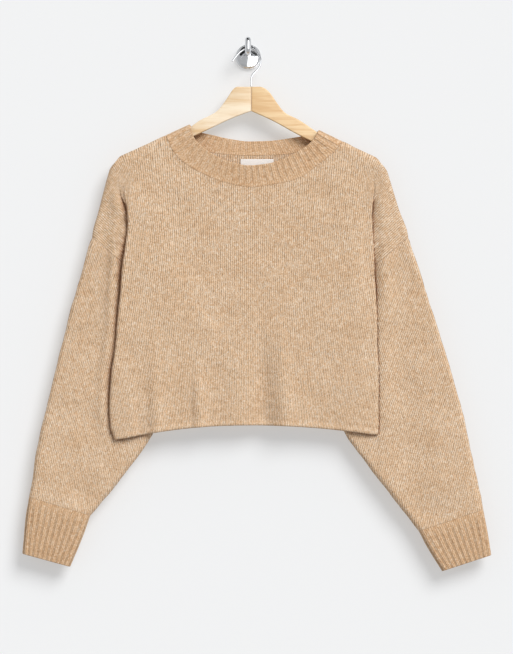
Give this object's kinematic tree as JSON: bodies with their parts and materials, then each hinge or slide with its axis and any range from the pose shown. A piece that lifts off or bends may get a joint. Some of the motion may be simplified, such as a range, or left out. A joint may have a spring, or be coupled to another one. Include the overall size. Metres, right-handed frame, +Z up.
{
  "type": "cropped knit sweater on a hanger and a wall hook",
  "caption": "Cropped drop-shoulder knit jumper with ribbed crew neck and cuffs, hanging flat on a wooden hanger from a round wall hook.",
  "frame": {"origin": "centre of the wall plate's flat back, on the wall", "axes": "+Z up, +Y into the wall, +X to the right of someone facing the garment's front"},
  "size_m": [0.7504, 0.046, 0.8559],
  "materials": {
    "knit": "brushed stockinette knit in an oatmeal and camel marl",
    "ribbing": "ribbed knit in the same oatmeal and camel marl",
    "label": "plain white woven neck label, left blank",
    "wood": "pale smooth beech, clear coat",
    "chrome": "polished chrome"
  },
  "bodies": {
    "root": {"front": "knit", "back": "knit", "neckband": "ribbing", "sleeve_left": "knit", "sleeve_right": "knit", "cuff_left": "ribbing", "cuff_right": "ribbing", "label": "label", "hanger_left": "wood", "hanger_right": "wood", "hanger_wire": "chrome", "wall_plate": "chrome", "wall_peg": "chrome"}
  },
  "joints": []
}
